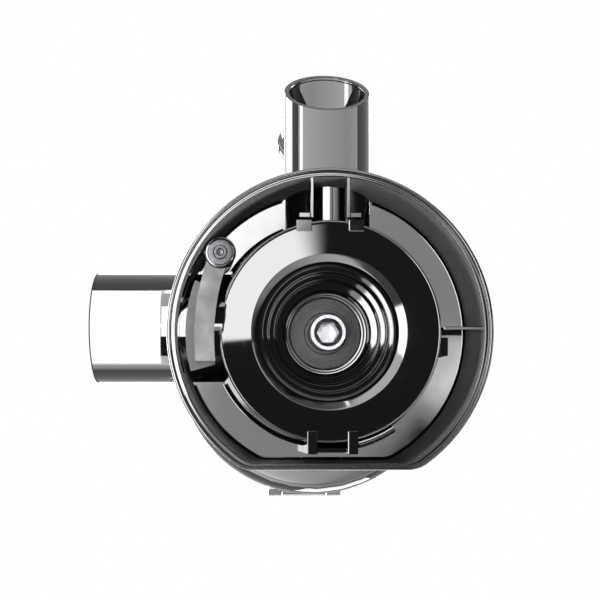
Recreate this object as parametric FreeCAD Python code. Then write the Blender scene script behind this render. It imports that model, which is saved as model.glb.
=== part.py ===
import FreeCAD, Part
import math
import os
from FreeCAD import Vector, Placement, Rotation

# Juicing head of a vertical cold press juicer, in millimetres.
# The origin is on the drive axis, in the plane of the skirt's rim, on which the head stands.
# The juice spout points to -Y, the pulp spout to -X, and the skirt's flat faces +Y.

# Skirt: the open ring that sits over the motor base
skirt_r = 80.0
skirt_flat = 67.7
skirt_wall = 4.3
skirt_height = 43.0
skirt_draft = 4.8
flat_draft = 1.3
flat_wall = 3.1
corner_r = 16.0
rabbet_width = 2.2
rabbet_depth = 1.4

# Floor of the bowl and the hub below it
floor_t = 3.0
hub_wall = 2.6
hub_r = 56.2
hub_draft = 1.9
hub_rim_z = 1.0
cup_r = 38.5
cup_z = 10.0
cup_step_r = (36.2, 32.6, 29.2, 25.6, 21.3)
cup_step_z = (12.0, 18.0, 25.0, 30.0, 36.0)
seal_seat_r = 18.1
seal_seat_z = 40.5
hub_chord_depth = 3.5
hub_chord = hub_r - hub_chord_depth
hub_chord_angle = 186.7

# Wall of the bowl
drum_r = 65.0
drum_wall = 2.8
drum_flare = 1.5
drum_top_r = drum_r + drum_flare
drum_top_z = 129.0
drum_ledge_z = 118.0
drum_ledge = 1.9
drum_bead = 1.6
drum_bead_z = 7.0

# Juice spout, with an oblique mouth that the cap covers
juice_r = 21.6
juice_wall = 2.6
juice_x = 1.3
spout_z = 46.5
juice_mouth_y = -123.2
juice_mouth_angle = 28.8
gutter_y = -46.0
socket_step = 0.4
juice_socket_y = -100.0
pulp_socket_x = -100.0

# Pulp spout, with a mouth that leans a little
pulp_r = 27.4
pulp_wall = 2.6
pulp_y = -2.8
pulp_mouth_x = -114.1
pulp_mouth_angle = 8.5
pulp_port_low_r = 18.7
pulp_port_high_r = 31.3
pulp_port_half_angle = 28.0
pulp_duct_low_x = -38.0

# Drive axis: steel ring with a hex socket, bush and seal
drive_r = 8.7
drive_low_z = 18.5
drive_top_z = 61.0
drive_mouth_r = 7.1
drive_mouth_depth = 3.0
hex_flats = 9.9
hex_depth = 20.0
running_gap = 0.06
bush_r = 13.0
seal_r = 18.0
seal_lip_r = 12.8
seal_groove = 0.8

# Gears, all of one module
gear_module = 1.25
auger_teeth = 24
pinion_teeth = 16
gear_height = 5.6
gear_low_gap = 0.3
pin_r = 2.5
pinion_count = 2
tooth_share = 0.222
tooth_taper = 0.105
root_widening = 0.03

# Screw
auger_stub_r = 10.5
auger_neck_r = 11.0
auger_low_z = 57.9
auger_top_z = 126.0
auger_tip_r = 42.4
auger_tip_top_r = 38.0
auger_core_low_r = 31.0
auger_core_top_r = 12.5
auger_pitch = 46.0
auger_nose_r = 6.0
auger_nose_top = 139.5

# Strainer
strainer_r = 46.0
strainer_wall = 2.0
strainer_floor_z = 55.0
strainer_floor_t = 2.5
strainer_flange_t = 2.4
strainer_windows = 8
mesh_wall = 0.5
fit_gap = 0.3

# Brush: its posts stand a clearance inside the wall of the bowl
brush_wall_gap = 5.6
brush_post_t = 3.4
brush_post_high_r = drum_r - drum_wall - brush_wall_gap
brush_post_low_r = brush_post_high_r - brush_post_t
brush_posts = 4
brush_post_angle = 14.0
brush_top_z = 113.0
brush_ring_t = 3.0
wiper_t = 1.4

# Lid, hopper and hopper lid: the collar goes round the bowl's bead, and the shoulder flares from it
lid_collar_gap = 0.4
lid_collar_t = 2.9
lid_collar_r = drum_top_r + drum_bead + lid_collar_gap + lid_collar_t
shoulder_flare = 3.0
shoulder_r = lid_collar_r + shoulder_flare
shoulder_shift = 10.0
shoulder_z = 146.0
lid_collar_z = 122.0
lid_plate_z = 131.0
lid_plate_t = 3.0
lid_wall = 2.8
feed_low_r = 15.0
feed_high_r = 41.0
feed_half_angle = 62.0
tower_r = 11.6
nose_bush_r = 9.0
hopper_top_z = 222.0
hopper_taper = 2.4
hopper_top_r = shoulder_r - hopper_taper
hopper_wall = 2.8
hopper_lid_t = 3.0
hopper_lid_crown = 9.0
hopper_lid_skirt = 6.0
hinge_pin_r = 1.5
hinge_r = 3.6
hopper_hinge_rise = 4.5
hopper_hinge_z = hopper_top_z + hopper_hinge_rise
hopper_hinge_reach = 2.8
hopper_ear_inner = 13.0
hopper_ear_t = 8.0
hopper_ear_gap = 0.4
finger_lip_half = 13.0
finger_lip_reach = 6.0

# Juice cap
cap_t = 2.2
cap_seal_t = 1.1
cap_seal_gap = 0.1
cap_hinge_y = -112.0
cap_hinge_z = 82.0
cap_barrel_r = 3.1
cap_hinge_length = 43.2
cap_neck_width = 15.0
cap_open = 170.0

# Clean-out lever under the pulp duct
lever_pivot_x = -53.7
lever_pivot_y = -38.8
lever_mid_x = -60.4
lever_mid_y = -13.0
lever_tip_x = -60.8
lever_tip_y = 14.4
lever_width = 9.8
lever_t = 2.3
lever_hub_r = 7.8
lever_hub_t = 2.6
post_r = 7.8
plug_low_r = 58.2
plug_high_r = 70.6
plug_half_angle = 18.5
plug_t = 2.4
plug_gap = 0.3
duct_seat_drop = 2.1
duct_seat_z = spout_z - pulp_r - duct_seat_drop
plug_top_z = duct_seat_z - plug_gap
lever_low_z = plug_top_z - plug_t - lever_t
cleanout_x = -63.2
cleanout_length = 7.0
cleanout_width = 20.0
slot_middle = 188.0
slot_half_angle = 24.0
slot_gap = 1.4
slot_low_z = lever_low_z - slot_gap
slot_high_z = plug_top_z + 1.1
washer_r = 6.3
washer_t = 1.1
screw_head_r = 3.5
screw_head_t = 2.5
screw_shank_r = 2.0
screw_recess_r = 1.6
screw_length = 24.0

# Ribs and lock lugs in the trough between the skirt and the hub
rib_t = 1.7
rib_low_z = 1.6
front_rib_x = 9.0
rear_post_x = (-8.9, 11.0)
rear_post_width = 5.0
rear_post_inset = 7.6
rear_post_reach = hub_r - rear_post_inset
rear_post_standout = 3.8
rear_post_end = hub_r + rear_post_standout
bridge_gap = 0.6
bridge_y = hub_r + bridge_gap
bridge_t = 2.4
curved_rib_t = 2.7
curved_rib_angle = 66.0
curved_rib_half = 9.5
stop_y = 3.0
stop_length = 9.0
side_rib_y = -1.5
foot_length = 5.4
foot_t = 2.6
lug_width = 7.6
lug_inset = 7.4
lug_reach = hub_r - lug_inset

floor_z = skirt_height
floor_top = floor_z + floor_t
axis_z = Vector(0, 0, 1)


def point(u, v, plane, level=0.0):
    """A point of an outline drawn in the XY, XZ or YZ plane."""
    if plane == "XY":
        return Vector(u, v, level)
    if plane == "XZ":
        return Vector(u, level, v)
    return Vector(level, u, v)


def outline(corners, plane="XZ", level=0.0):
    """Closed face through corners (u, v) or (u, v, fillet radius)."""
    runs = []
    count = len(corners)
    for i in range(count):
        before = corners[i - 1]
        here = corners[i]
        after = corners[(i + 1) % count]
        radius = here[2] if len(here) > 2 else 0.0
        p = Vector(here[0], here[1], 0)
        if radius == 0:
            runs.append((p, None, p))
            continue
        a = (Vector(before[0], before[1], 0) - p).normalize()
        b = (Vector(after[0], after[1], 0) - p).normalize()
        half = a.getAngle(b) / 2
        setback = radius / math.tan(half)
        middle = (a + b).normalize() * (radius / math.sin(half) - radius)
        runs.append((p + a * setback, p + middle, p + b * setback))
    edges = []
    for i in range(count):
        start, middle, end = [q and point(q.x, q.y, plane, level) for q in runs[i]]
        following = runs[(i + 1) % count][0]
        onward = point(following.x, following.y, plane, level)
        if middle:
            edges.append(Part.Arc(start, middle, end).toShape())
        edges.append(Part.LineSegment(end, onward).toShape())
    return Part.Face(Part.Wire(edges))


def revolved(corners):
    """Solid of revolution about the drive axis, from an outline of (radius, height)."""
    return outline(corners).revolve(Vector(0, 0, 0), axis_z, 360)


def cylinder(radius, low, high, x=0.0, y=0.0):
    return Part.makeCylinder(radius, high - low, Vector(x, y, low), axis_z)


def ring(outer, inner, low, high, x=0.0, y=0.0):
    return cylinder(outer, low, high, x, y).cut(cylinder(inner, low - 1, high + 1, x, y))


def block(x0, x1, y0, y1, z0, z1):
    return Part.makeBox(x1 - x0, y1 - y0, z1 - z0, Vector(x0, y0, z0))


def turned(shape, degrees, centre=Vector(0, 0, 0), axis=axis_z):
    copy = shape.copy()
    copy.rotate(centre, axis, degrees)
    return copy


def sector(inner, outer, low, high, middle, half_angle):
    """Piece of a ring, centred on an angle about the drive axis."""
    wedge = Part.makeCylinder(outer, high - low, Vector(0, 0, low), axis_z, 2 * half_angle)
    wedge = wedge.cut(cylinder(inner, low - 1, high + 1))
    return turned(wedge, middle - half_angle)


def skirt_outline(radius, flat, corner, level):
    """Round outline with one flat on +Y, whose two corners are rounded."""
    reach = radius - corner
    x = math.sqrt(reach ** 2 - (flat - corner) ** 2)
    grow = radius / reach
    lead = math.atan2(flat - corner, x)
    tangent = Vector(x * grow, (flat - corner) * grow, level)
    bisect = (lead + math.pi / 2) / 2
    middle = Vector(x + corner * math.cos(bisect), flat - corner + corner * math.sin(bisect), level)
    start = Vector(x, flat, level)
    front = Vector(0, -radius, level)
    side = math.radians(-30)
    right = Vector(radius * math.cos(side), radius * math.sin(side), level)

    def mirrored(p):
        return Vector(-p.x, p.y, p.z)

    edges = [
        Part.LineSegment(mirrored(start), start).toShape(),
        Part.Arc(start, middle, tangent).toShape(),
        Part.Arc(tangent, right, front).toShape(),
        Part.Arc(front, mirrored(right), mirrored(tangent)).toShape(),
        Part.Arc(mirrored(tangent), mirrored(middle), mirrored(start)).toShape(),
    ]
    return Part.Wire(edges)


def skirt_solid(inset, flat_inset, low, high, ends=None):
    """Drafted solid inside the skirt's outer shape, inset by the wall; ends overrides the lofted heights."""
    ends = ends or (low, high)
    sections = []
    for z in ends:
        part = z / skirt_height
        radius = skirt_r - inset - skirt_draft * part
        flat = skirt_flat - flat_inset - flat_draft * part
        sections.append(skirt_outline(radius, flat, max(corner_r - inset, 4.0), z))
    return Part.makeLoft(sections, True, True)


def tube_y(radius, y0, y1):
    """Round bar along the juice spout's axis."""
    return Part.makeCylinder(radius, y1 - y0, Vector(juice_x, y0, spout_z), Vector(0, 1, 0))


def tube_x(radius, x0, x1):
    """Round bar along the pulp spout's axis."""
    return Part.makeCylinder(radius, x1 - x0, Vector(x0, pulp_y, spout_z), Vector(1, 0, 0))


def mouth_slab(depth, thickness):
    """Slab parallel to the juice spout's mouth; depth is how far its outer face lies behind the mouth."""
    size = 160.0
    slab = Part.makeBox(size, thickness, size, Vector(-size / 2, depth, -size / 2))
    slab.rotate(Vector(0, 0, 0), Vector(1, 0, 0), juice_mouth_angle)
    slab.translate(Vector(juice_x, juice_mouth_y, spout_z))
    return slab


def beyond_mouth(depth):
    """Everything outside a plane that lies a depth behind the juice spout's mouth."""
    return mouth_slab(depth - 200.0, 200.0)


def make_ribs():
    """Ribs, lock lugs and posts that stand in the trough."""
    top = floor_z
    skirt_in = skirt_r - skirt_wall + 2.0
    near = hub_r - 1.0
    pieces = []
    for side in (-1, 1):
        x = side * front_rib_x
        pieces.append(block(x - rib_t / 2, x + rib_t / 2, -skirt_in, -near - fit_gap, rib_low_z, top))
        foot = sorted((x + side * rib_t / 2, x + side * (rib_t / 2 + foot_length)))
        pieces.append(block(foot[0], foot[1], -near - fit_gap - foot_t, -near - fit_gap, rib_low_z, top))
    side_y = (side_rib_y - rib_t / 2, side_rib_y + rib_t / 2)
    pieces.append(block(near + fit_gap, skirt_in, side_y[0], side_y[1], rib_low_z, top))
    trough = skirt_solid(skirt_wall - 1.0, flat_wall - 1.0, 0, skirt_height)
    ribs = pieces[0]
    for piece in pieces[1:]:
        ribs = ribs.fuse(piece)
    low_r = hub_r - hub_draft + fit_gap
    hub_zone = Part.makeCone(low_r, hub_r + fit_gap, top - hub_rim_z, Vector(0, 0, hub_rim_z))
    return ribs.common(trough).cut(hub_zone)


def make_lever_post():
    post = cylinder(post_r, lever_low_z + lever_t + fit_gap, floor_z, lever_pivot_x, lever_pivot_y)
    hub_zone = Part.makeCone(hub_r - hub_draft + fit_gap, hub_r + fit_gap, floor_z, Vector(0, 0, 0))
    inside = skirt_solid(skirt_wall - 1.0, flat_wall - 1.0, 0, skirt_height)
    hole = cylinder(screw_shank_r, 0, lever_low_z + screw_length, lever_pivot_x, lever_pivot_y)
    return post.cut(hub_zone).common(inside).cut(hole)


def make_skirt():
    outer = skirt_solid(0, 0, 0, skirt_height)
    inner = skirt_solid(skirt_wall, flat_wall, 0, skirt_height, (-1.0, skirt_height + 1.0))
    rabbet = skirt_solid(skirt_wall - rabbet_width, flat_wall - rabbet_width / 2, -1.0, rabbet_depth)
    skirt = outer.cut(inner).cut(rabbet)
    skirt = skirt.fuse(make_ribs()).fuse(make_lever_post())
    skirt = skirt.cut(tube_y(juice_r + running_gap, juice_mouth_y, gutter_y))
    skirt = skirt.cut(tube_x(pulp_r + running_gap, pulp_mouth_x, pulp_duct_low_x))
    reach = skirt_r + 6
    slot = sector(plug_high_r + 0.8, reach, slot_low_z, slot_high_z, slot_middle, slot_half_angle)
    return skirt.cut(slot).removeSplitter()


def beyond_chord(inset):
    """Everything outside the hub's flat side, or an inset within it."""
    side = block(hub_chord - inset, 2 * hub_chord, -hub_r, hub_r, -1, floor_z + 1)
    return turned(side, hub_chord_angle)


def make_hub():
    """Boss with a sloping underside and a stepped cup, open at the top, under the floor."""
    t = hub_wall
    low_r = hub_r - hub_draft
    under = [(hub_r, floor_z), (low_r, hub_rim_z, 1.2), (cup_r, cup_z, 1.5)]
    under += [(cup_step_r[0], cup_step_z[0], 1.0), (cup_step_r[1], cup_step_z[1])]
    for i in range(2, len(cup_step_r)):
        under.append((cup_step_r[i] + 0.8, cup_step_z[i - 1] + 0.6))
        under.append((cup_step_r[i], cup_step_z[i]))
    under += [(cup_step_r[-1] - 0.4, seal_seat_z), (seal_seat_r, seal_seat_z), (seal_seat_r, floor_z)]
    over = [(cup_step_r[-1] + t, floor_z), (cup_step_r[-1] + t, cup_step_z[-1])]
    over += [(cup_step_r[2] + t, cup_step_z[2] + 2.0), (cup_step_r[1] + t, cup_step_z[1] + 1.0)]
    over += [(cup_r + 1.6, cup_z + t + 0.4, 1.0), (low_r - t, hub_rim_z + t + 0.6, 1.0)]
    over += [(hub_r - t, floor_z)]
    outer = revolved(under).cut(beyond_chord(0))
    cavity = revolved(over).cut(beyond_chord(t))
    hub = outer.cut(cavity)
    hub = hub.cut(tube_y(juice_r + running_gap, juice_mouth_y, gutter_y))
    hub = hub.cut(pulp_duct(pulp_r, running_gap))
    lugs = []
    for side_x in (-1, 1):
        x = side_x * (front_rib_x + lug_width / 2)
        lugs.append(block(x - lug_width / 2, x + lug_width / 2, -hub_r + 1.6, -lug_reach, hub_rim_z, cup_z))
    for x in rear_post_x:
        half = rear_post_width / 2
        lugs.append(block(x - half, x + half, rear_post_reach, rear_post_end, hub_rim_z, cup_z))
        lugs.append(block(x - half, x + half, hub_r - 2.4, rear_post_end, hub_rim_z, floor_z))
    bridge_x = (rear_post_x[0] + rear_post_width / 2, rear_post_x[1] - rear_post_width / 2)
    lugs.append(block(bridge_x[0], bridge_x[1], bridge_y, bridge_y + bridge_t, hub_rim_z + 3.0, floor_z))
    rib_r = hub_r + curved_rib_t
    lugs.append(sector(hub_r - 2.4, rib_r, hub_rim_z + 5.0, floor_z, curved_rib_angle, curved_rib_half))
    lugs.append(block(hub_r - 2.4, hub_r + 1.4, stop_y, stop_y + stop_length, hub_rim_z + 1.0, floor_z))
    for lug in lugs:
        hub = hub.fuse(lug)
    return hub.removeSplitter()


def pulp_port(grow, low, high):
    """Kidney-shaped port beside the drive axis, on the pulp spout's side."""
    inner = pulp_port_low_r - grow
    outer = pulp_port_high_r + grow
    return sector(inner, outer, low, high, 180, pulp_port_half_angle + math.degrees(grow / 25.0))


def make_floor():
    outer = skirt_solid(0, 0, 0, 0, (floor_z, floor_top))
    port_wall = 1.5
    floor = outer.fuse(pulp_port(port_wall, floor_z, strainer_floor_z - fit_gap))
    floor = floor.cut(pulp_port(0, floor_z - 1, strainer_floor_z + 1))
    floor = floor.cut(cylinder(bush_r, floor_z - 1, floor_top + 1))
    floor = floor.cut(tube_y(juice_r + running_gap, juice_mouth_y, gutter_y))
    outside = tube_x(pulp_r + running_gap, pulp_mouth_x, 0).cut(cylinder(drum_r + 0.2, 0, 100))
    floor = floor.cut(outside)
    for place in pinion_places():
        floor = floor.cut(cylinder(pin_r + 0.01, floor_z - 1, floor_top + 1, place.x, place.y))
    return floor.removeSplitter()


def drum_envelope(gap):
    """Solid outside shape of the bowl's wall, a gap wider, from the skirt's rim up to below its bead."""
    low = cylinder(drum_r + gap, 0, floor_top)
    height = drum_top_z - drum_bead_z - floor_top
    return low.fuse(Part.makeCone(drum_r + gap, drum_top_r + gap, height, Vector(0, 0, floor_top)))


def make_drum():
    """Wall of the bowl, a little wider at the top, with a ledge for the strainer and a top bead."""
    low, top = floor_top, drum_top_z
    grow = drum_top_r - drum_r
    ledge_r = drum_r - drum_wall + grow * 0.85
    drum = revolved([
        (drum_r - drum_wall, low), (drum_r, low), (drum_top_r, top - drum_bead_z),
        (drum_top_r + drum_bead, top - drum_bead_z + 2.0, 1.0), (drum_top_r + drum_bead, top, 0.8),
        (ledge_r + drum_ledge, top), (ledge_r + drum_ledge, drum_ledge_z),
        (ledge_r, drum_ledge_z),
    ])
    drum = drum.cut(tube_y(juice_r + running_gap, juice_mouth_y, gutter_y))
    return drum


def make_juice_spout():
    bore_r = juice_r - juice_wall
    outer = tube_y(juice_r, juice_mouth_y - 20, gutter_y)
    bore = tube_y(bore_r, juice_mouth_y - 25, gutter_y - juice_wall)
    inside = cylinder(drum_r - drum_wall, floor_top, 120)
    over_floor = block(-juice_r - 5, juice_r + 8, -drum_r, gutter_y + 5, floor_top, 120)
    spout = outer.cut(bore).cut(inside).cut(over_floor.common(inside))
    spout = spout.cut(beyond_mouth(0))
    gutter_top = block(-juice_r - 5, juice_r + 8, -drum_r + drum_wall + 1, gutter_y + 5, floor_top, 120)
    spout = spout.cut(gutter_top)
    socket = tube_y(bore_r + socket_step, juice_mouth_y - 25, juice_socket_y)
    return spout.fuse(make_cap_bracket()).cut(socket).removeSplitter()


def cap_hinge_bar(radius, length, middle_x=juice_x):
    """Round bar on the axis of the juice cap's hinge."""
    start = Vector(middle_x - length / 2, cap_hinge_y, cap_hinge_z)
    return Part.makeCylinder(radius, length, start, Vector(1, 0, 0))


def make_cap_bracket():
    """Two ears on top of the spout that carry the cap's hinge pin."""
    gap = 0.3
    inner = cap_neck_width / 2 + gap
    outer = cap_hinge_length / 2
    top = spout_z + juice_r
    profile = [
        (cap_hinge_y - 6.5, top - 9.0), (cap_hinge_y + 10.0, top - 9.0), (cap_hinge_y + 10.0, top - 0.5, 4.0),
        (cap_hinge_y + cap_barrel_r, cap_hinge_z, 0.0), (cap_hinge_y - cap_barrel_r, cap_hinge_z, 0.0),
        (cap_hinge_y - 6.5, top - 1.0, 2.0),
    ]
    ears = None
    for side in (-1, 1):
        low = min(side * inner, side * outer) + juice_x
        ear = outline(profile, "YZ", low).extrude(Vector(outer - inner, 0, 0))
        ear = ear.fuse(cap_hinge_bar(cap_barrel_r, outer - inner, low + (outer - inner) / 2))
        ears = ears.fuse(ear) if ears else ear
    ears = ears.cut(tube_y(juice_r - juice_wall, juice_mouth_y, gutter_y))
    pin = cap_hinge_bar(hinge_pin_r, 2 * cap_hinge_length)
    narrow = tube_y(juice_r, juice_mouth_y - 20, gutter_y)
    above = block(
        -2 * juice_r, 2 * juice_r, cap_hinge_y - juice_r, cap_hinge_y + juice_r,
        spout_z + juice_r * 0.7, cap_hinge_z + 2 * cap_barrel_r,
    )
    return ears.common(narrow.fuse(above)).cut(pin)


def swung_open(shape):
    """The cap's closed shape, turned about its hinge to where it stands open."""
    return turned(shape, -cap_open, Vector(juice_x, cap_hinge_y, cap_hinge_z), Vector(1, 0, 0))


def make_cap():
    """Flat cap of the oblique mouth, with a neck up to the hinge barrel."""
    seal_face = cap_seal_gap + cap_seal_t
    plate = tube_y(juice_r, juice_mouth_y - 20, gutter_y).common(mouth_slab(-seal_face - cap_t, cap_t))
    angle = math.radians(juice_mouth_angle)
    lip_y = juice_mouth_y - juice_r * math.tan(angle) - (seal_face + cap_t) / math.cos(angle)
    lip_z = spout_z + juice_r
    neck_t = 3.0
    profile = [
        (lip_y + 0.1, lip_z - 2.6), (lip_y - 2.2, lip_z + 1.4, 2.0),
        (cap_hinge_y - 2.0, cap_hinge_z + cap_barrel_r),
        (cap_hinge_y - 0.5, cap_hinge_z - 1.5), (lip_y + neck_t + 2.0, lip_z + 2.6, 2.0),
        (lip_y + cap_t + 0.3, lip_z - 2.6),
    ]
    half = cap_neck_width / 2
    neck = outline(profile, "YZ", juice_x - half).extrude(Vector(cap_neck_width, 0, 0))
    barrel = cap_hinge_bar(cap_barrel_r, cap_neck_width)
    pin = cap_hinge_bar(hinge_pin_r + running_gap, 2 * cap_hinge_length)
    behind = mouth_slab(-seal_face, 60).common(tube_y(juice_r + 0.4, juice_mouth_y - 30, gutter_y))
    return swung_open(plate.fuse(neck.fuse(barrel).cut(behind)).cut(pin).removeSplitter())


def make_cap_seal():
    disc = tube_y(juice_r - 0.6, juice_mouth_y - 20, gutter_y)
    return swung_open(disc.common(mouth_slab(-cap_seal_gap - cap_seal_t, cap_seal_t)))


def make_cap_pin():
    return cap_hinge_bar(hinge_pin_r, cap_hinge_length)


def pulp_duct(radius, grow):
    """Solid inside of a duct: a half bar with a sloping end under the floor, a full bar outside the bowl."""
    low_x = pulp_duct_low_x
    high_x = -pulp_port_low_r + 1.2
    slope = math.atan2(floor_z - (spout_z - pulp_r), high_x - low_x)
    bar = tube_x(radius + grow, pulp_mouth_x - 20, high_x + 10)
    under = block(-200, high_x + 20, -60, 60, -20, floor_z)
    keep = block(-400, 0, -80, 80, -120, 120)
    keep.rotate(Vector(0, 0, 0), Vector(0, 1, 0), 90 - math.degrees(slope))
    keep.translate(Vector(low_x + grow / math.sin(slope), 0, spout_z - pulp_r))
    inner = bar.common(under).common(keep)
    outside = bar.cut(drum_envelope(0.1)).cut(block(-drum_r, 10, -60, 60, floor_z, 200))
    return inner.fuse(outside.common(block(-300, -56, -60, 60, -20, 200)))


def make_pulp_spout():
    """Pulp duct from the port under the floor to the leaning mouth, with the clean-out hole's seat."""
    spout = pulp_duct(pulp_r, 0).cut(pulp_duct(pulp_r, -pulp_wall))
    lean = math.tan(math.radians(pulp_mouth_angle))
    mouth = Part.makeBox(80, 120, 160, Vector(-80, -60, -80))
    mouth.rotate(Vector(0, 0, 0), Vector(0, 1, 0), math.degrees(math.atan(lean)))
    mouth.translate(Vector(pulp_mouth_x, pulp_y, spout_z))
    spout = spout.cut(mouth)
    seat = block(
        cleanout_x - cleanout_length / 2 - 2, cleanout_x + cleanout_length / 2 + 2,
        pulp_y - cleanout_width / 2 - 2, pulp_y + cleanout_width / 2 + 2, duct_seat_z, spout_z,
    )
    seat = seat.cut(tube_x(pulp_r - pulp_wall, -120, 0))
    hole = block(
        cleanout_x - cleanout_length / 2, cleanout_x + cleanout_length / 2,
        pulp_y - cleanout_width / 2, pulp_y + cleanout_width / 2, 0, spout_z,
    )
    socket = tube_x(pulp_r - pulp_wall + socket_step, pulp_mouth_x - 20, pulp_socket_x)
    return spout.fuse(seat).cut(hole).cut(socket).removeSplitter()


def make_shaft_seal():
    """Flat lip seal with a raised lip ring and a groove, around the drive ring."""
    low, top = seal_seat_z - 0.2, floor_z
    inner = drive_r + 0.25
    return revolved([
        (inner, low + 0.8), (seal_lip_r - 2.6, low + 0.8), (seal_lip_r - 2.0, low), (seal_lip_r - 0.4, low),
        (seal_lip_r - 0.4, low + seal_groove), (seal_lip_r + 0.4, low + seal_groove), (seal_lip_r + 0.4, low),
        (seal_r - 0.6, low), (seal_r, low + 0.6), (seal_r, top), (inner, top),
    ])


def make_shaft_bush():
    return ring(bush_r, drive_r + running_gap, floor_z, floor_top)


def hexagon(across, low, high):
    radius = across / math.sqrt(3)
    points = []
    for i in range(7):
        angle = math.radians(60 * i)
        points.append(Vector(radius * math.cos(angle), radius * math.sin(angle), low))
    return Part.Face(Part.makePolygon(points)).extrude(Vector(0, 0, high - low))


def make_drive_socket():
    body = cylinder(drive_r, drive_low_z, drive_top_z)
    mouth = Part.makeCone(
        drive_mouth_r, hex_flats / 2, drive_mouth_depth, Vector(0, 0, drive_low_z)
    )
    socket = hexagon(hex_flats, drive_low_z, drive_low_z + drive_mouth_depth + hex_depth)
    return body.cut(mouth).cut(socket)


def gear_outline(teeth, level, internal=False):
    """Gear outline with straight-sided teeth, centred on the drive axis; a tooth's middle lies on +X."""
    pitch = gear_module * teeth / 2
    sign = -1 if internal else 1
    tip = pitch + sign * 0.95 * gear_module
    root = pitch - sign * 1.2 * gear_module
    step = 2 * math.pi / teeth
    tip_half = step * (tooth_share - tooth_taper)
    root_half = step * (tooth_share + tooth_taper + root_widening)
    points = []
    for i in range(teeth):
        middle = i * step
        for radius, offset in ((root, -root_half), (tip, -tip_half), (tip, tip_half), (root, root_half)):
            angle = middle + offset
            points.append(Vector(radius * math.cos(angle), radius * math.sin(angle), level))
    points.append(points[0])
    return Part.Face(Part.makePolygon(points))


def gear_low():
    return floor_top + gear_low_gap


def gear_high():
    return gear_low() + gear_height


def pinion_reach():
    return gear_module * (auger_teeth + pinion_teeth) / 2


def ring_teeth():
    return auger_teeth + 2 * pinion_teeth


def pinion_places():
    """Centres of the pinions: the first on +Y, the others evenly round the drive axis."""
    places = []
    for i in range(pinion_count):
        angle = math.radians(90 + 360 * i / pinion_count)
        places.append(Vector(pinion_reach() * math.cos(angle), pinion_reach() * math.sin(angle), 0))
    return places


def make_auger_gear():
    """Gear on the screw; one of its teeth points at each pinion."""
    face = gear_outline(auger_teeth, gear_low())
    gear = face.extrude(Vector(0, 0, gear_height))
    gear = turned(gear, 90 % (360 / auger_teeth))
    return gear.cut(cylinder(auger_stub_r, gear_low() - 1, gear_high() + 1))


def make_pinion(place):
    """Pinion with a tooth gap facing the screw's gear and a tooth facing the ring gear's gap."""
    face = gear_outline(pinion_teeth, gear_low())
    gear = face.extrude(Vector(0, 0, gear_height))
    inward = math.degrees(math.atan2(-place.y, -place.x))
    gear = turned(gear, inward + 180.0 / pinion_teeth)
    gear = gear.cut(cylinder(pin_r + running_gap, gear_low() - 1, gear_high() + 1))
    gear.translate(place)
    return gear


def make_pinion_pins():
    pins = [cylinder(pin_r, floor_z, gear_high() + 0.6, place.x, place.y) for place in pinion_places()]
    return Part.makeCompound(pins)


def ring_phase():
    """Turn of the ring gear that sets one of its gaps where a pinion's tooth points outwards."""
    step = 360.0 / ring_teeth()
    outward_is_gap = pinion_teeth % 2 == 0
    shift = 0.0 if outward_is_gap else 0.5
    return 90.0 + shift * step


def make_brush_frame():
    """Ring gear, flange, posts and top ring of the turning brush."""
    low, high = gear_low(), gear_high()
    pitch = gear_module * ring_teeth() / 2
    rim = pitch + 4.5
    teeth = gear_outline(ring_teeth(), low, True).extrude(Vector(0, 0, gear_height))
    gear = cylinder(rim, low, high).cut(turned(teeth, ring_phase()))
    flange_top = high + 2.4
    flange = ring(brush_post_high_r + 1.4, rim - 3.0, high, flange_top)
    frame = gear.fuse(flange)
    top = ring(brush_post_high_r, brush_post_low_r, brush_top_z, brush_top_z + brush_ring_t)
    frame = frame.fuse(top)
    for i in range(brush_posts):
        middle = 45 + 360 * i / brush_posts
        half = brush_post_angle / 2
        post = sector(brush_post_low_r, brush_post_high_r, flange_top, brush_top_z, middle, half)
        frame = frame.fuse(post)
    for blade in wiper_blades():
        frame = frame.cut(blade)
    return frame.removeSplitter()


def wiper_blades():
    low = gear_high() + 5.0
    inner = strainer_r + fit_gap
    outer = drum_r - drum_wall - fit_gap
    blades = []
    for i in range(brush_posts):
        blade = block(inner, outer, -wiper_t / 2, wiper_t / 2, low, brush_top_z - 2.0)
        blades.append(turned(blade, 45 + 360 * i / brush_posts))
    return blades


def make_strainer_frame():
    """Basket with tall windows, a floor with the pulp port, and a flange that rests on the bowl's ledge."""
    low = strainer_floor_z
    top = drum_ledge_z
    grow = drum_top_r - drum_r
    ledge_r = drum_r - drum_wall + grow * 0.85 + drum_ledge
    wall = ring(strainer_r, strainer_r - strainer_wall, low, top)
    plate = ring(strainer_r, auger_neck_r + 0.6, low, low + strainer_floor_t)
    flange = ring(ledge_r - fit_gap, strainer_r - strainer_wall, top, top + strainer_flange_t)
    frame = wall.fuse(plate).fuse(flange)
    for i in range(strainer_windows):
        window = sector(
            strainer_r - strainer_wall - 1, strainer_r + 1, low + 8, top - 7, 360 * i / strainer_windows, 17.5
        )
        frame = frame.cut(window)
    frame = frame.cut(pulp_port(0, low - 1, low + strainer_floor_t + 1))
    return frame.removeSplitter()


def make_strainer_mesh():
    outer = strainer_r - strainer_wall - 0.02
    return ring(outer, outer - mesh_wall, strainer_floor_z + strainer_floor_t, drum_ledge_z - 1.0)


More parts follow.
